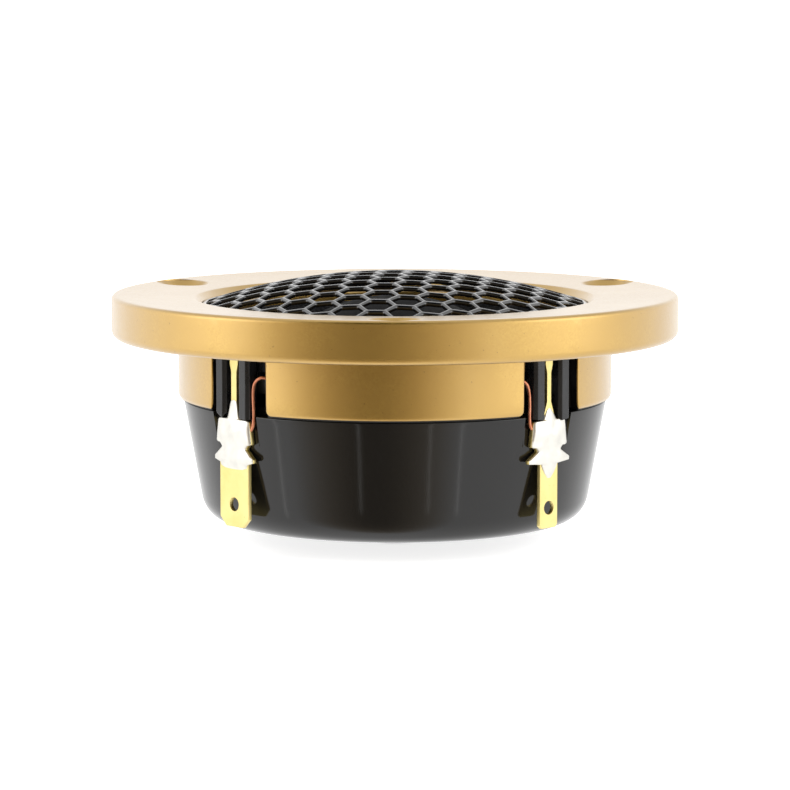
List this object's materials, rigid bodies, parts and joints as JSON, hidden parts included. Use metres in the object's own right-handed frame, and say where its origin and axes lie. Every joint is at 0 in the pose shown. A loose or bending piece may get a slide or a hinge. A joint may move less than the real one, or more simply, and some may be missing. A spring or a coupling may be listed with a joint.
{
  "type": "car tweeter",
  "caption": "Flush-mount dome tweeter with a gold flange, a domed hexagonal mesh grille, unequal spade tabs in collar slots and a black rear cup.",
  "frame": {"origin": "middle of the rear boss's end face, the lowest point", "axes": "+Z out of the front along the driver's axis; the two spade terminals lie towards -Y, the wide one at -X and the narrow one at +X"},
  "size_m": [0.064, 0.064, 0.0301],
  "materials": {
    "gold_casting": "satin metallic champagne gold paint with fine grain",
    "black_mesh": "semi-gloss black paint",
    "foam": "matte closed-cell foam",
    "black_moulding": "satin moulded plastic",
    "silk": "coated fine silk",
    "aluminium_foil": "rolled foil",
    "copper": "enamelled copper wire",
    "brass": "bright stamped strip",
    "solder": "smooth frosted tin",
    "plated_steel": "zinc plate",
    "nickel": "nickel plate",
    "felt": "pressed wool felt",
    "gloss_cup": "polished black moulding"
  },
  "bodies": {
    "frame": {"faceplate": "gold_casting", "grille": "black_mesh", "ring_gasket": "foam", "terminal_ring": "black_moulding", "surround": "silk", "lead_out_wide": "copper", "lead_out_narrow": "copper", "terminal_wide": "brass", "terminal_narrow": "brass", "solder_wide": "solder", "solder_narrow": "solder", "pole_plate": "plated_steel", "neo_magnet": "nickel", "steel_pot": "plated_steel", "pole_felt": "felt", "motor_screws": "plated_steel", "rear_cup": "gloss_cup", "chamber_felt": "felt"},
    "diaphragm": {"dome": "silk", "coil_former": "aluminium_foil", "voice_coil": "copper"}
  },
  "joints": [
    {"name": "diaphragm_travel", "type": "slide", "parent": "frame", "child": "diaphragm", "axis": [0, 0, 1], "range_m": [-0.0004, 0.0004], "stiffness_N_per_m": 300, "deforming": ["surround", "lead_out_wide", "lead_out_narrow"]}
  ]
}
